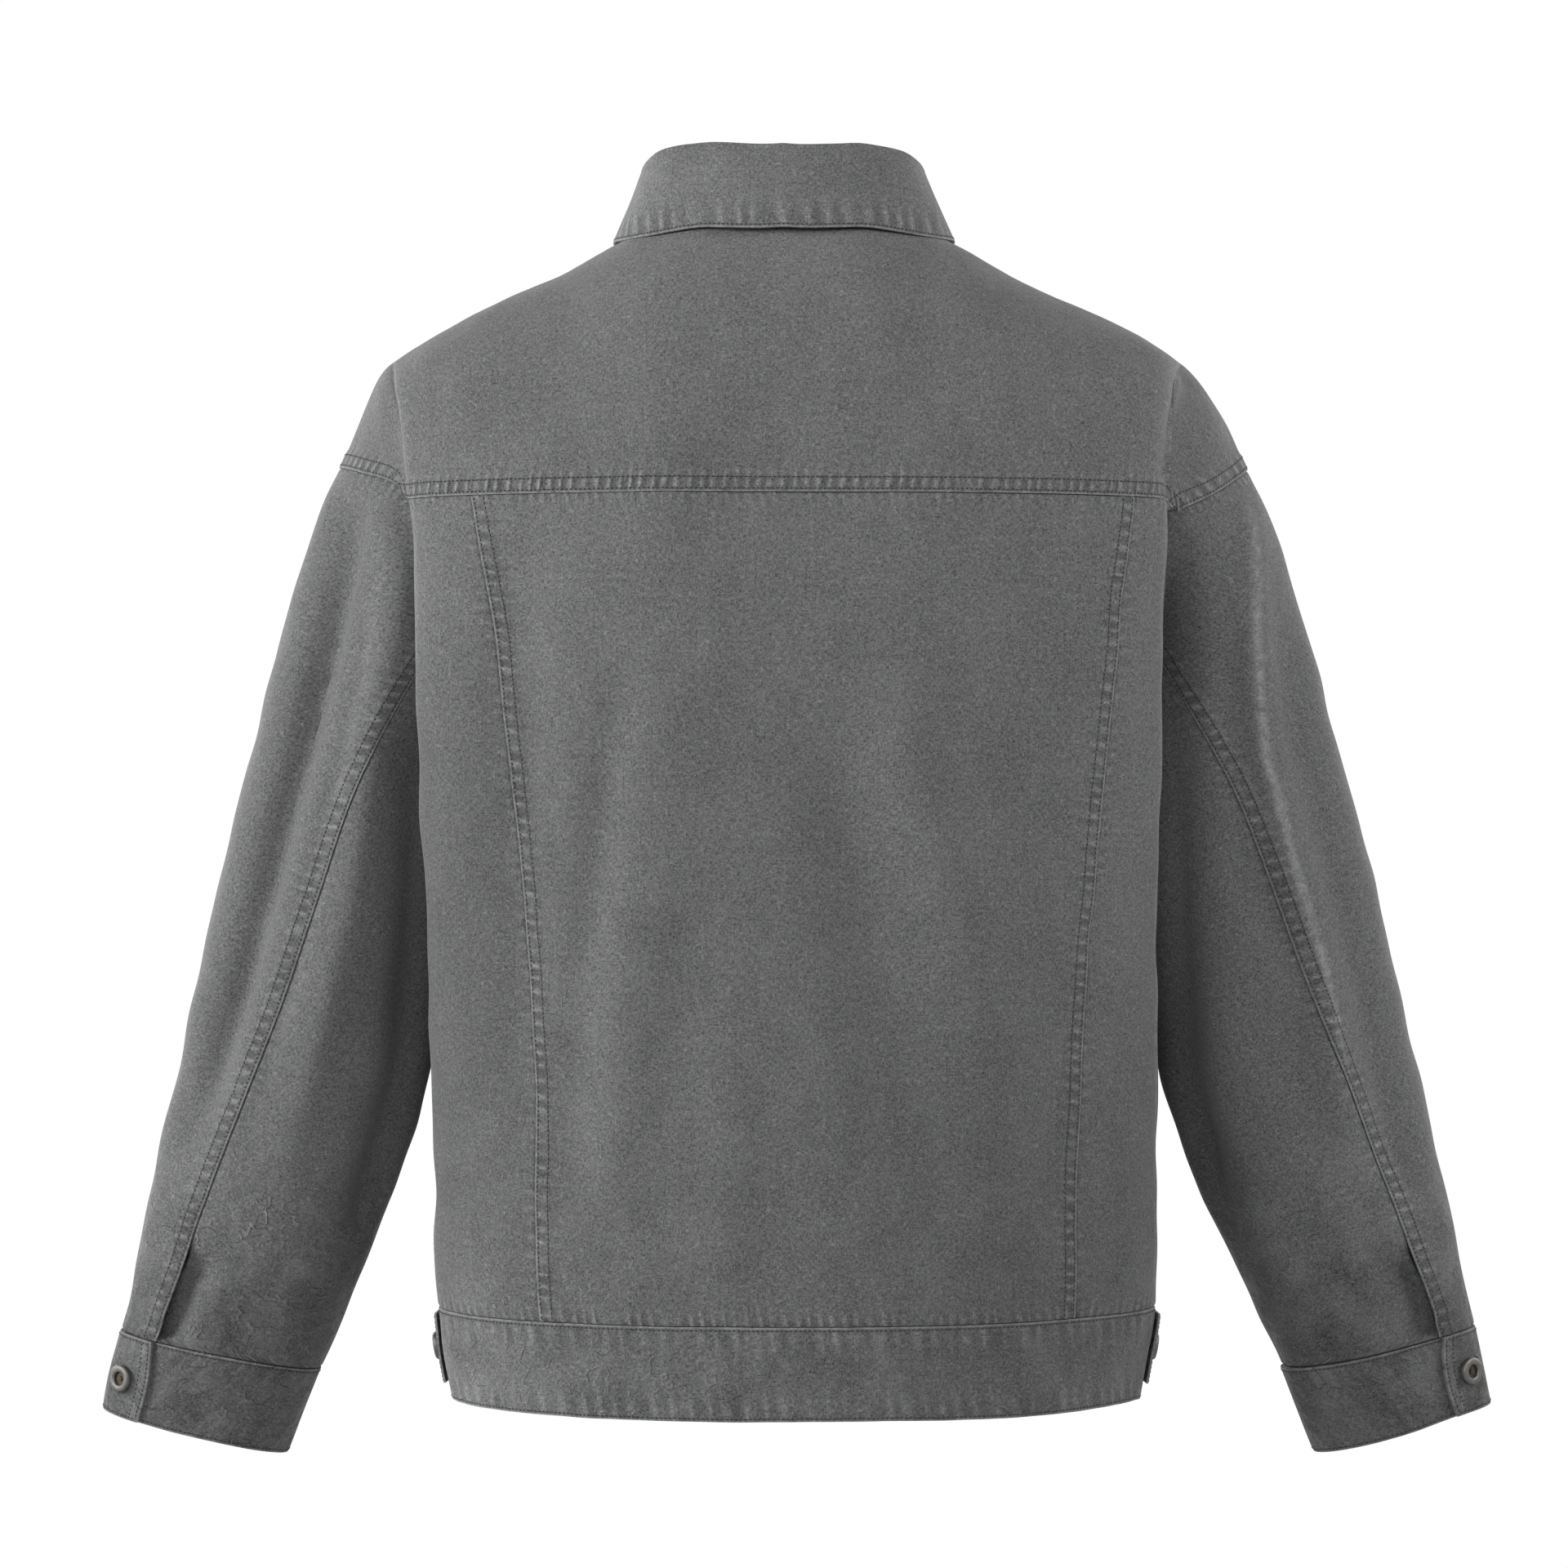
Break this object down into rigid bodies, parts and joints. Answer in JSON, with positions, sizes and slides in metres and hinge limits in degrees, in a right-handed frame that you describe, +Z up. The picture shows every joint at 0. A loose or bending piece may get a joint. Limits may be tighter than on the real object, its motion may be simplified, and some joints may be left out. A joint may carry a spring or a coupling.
{
  "type": "canvas work jacket",
  "caption": "Boxy canvas work jacket with a turn-down collar, back yoke, long sleeves with buttoned cuffs and a waistband, filled out as if worn, with open neck, cuffs and hem.",
  "frame": {"origin": "middle of the neck opening, level with the inner ends of the shoulders, where the wearer's neck holds the jacket", "axes": "+Z up, +X towards the wearer's left, the front faces -Y"},
  "size_m": [0.8038, 0.2749, 0.7504],
  "materials": {
    "canvas": "washed charcoal cotton canvas, matt, plain weave, worn pale along its seam edges",
    "button_metal": "dull pewter ring with a darker sunk middle"
  },
  "bodies": {
    "root": {"back_yoke": "canvas", "back_panel": "canvas", "back_side_left": "canvas", "back_side_right": "canvas", "front_left": "canvas", "front_right": "canvas", "front_placket": "canvas", "collar_fall": "canvas", "collar_stand": "canvas", "sleeve_upper_left": "canvas", "sleeve_upper_right": "canvas", "sleeve_under_left": "canvas", "sleeve_under_right": "canvas", "cuff_left": "canvas", "cuff_right": "canvas", "band_back": "canvas", "band_front_left": "canvas", "band_front_right": "canvas", "waist_tab_left": "canvas", "waist_tab_right": "canvas", "cuff_button_left": "button_metal", "cuff_button_right": "button_metal", "tab_button_left": "button_metal", "tab_button_right": "button_metal", "band_button": "button_metal", "front_button_1": "button_metal", "front_button_2": "button_metal", "front_button_3": "button_metal", "front_button_4": "button_metal", "front_button_5": "button_metal"}
  },
  "joints": []
}
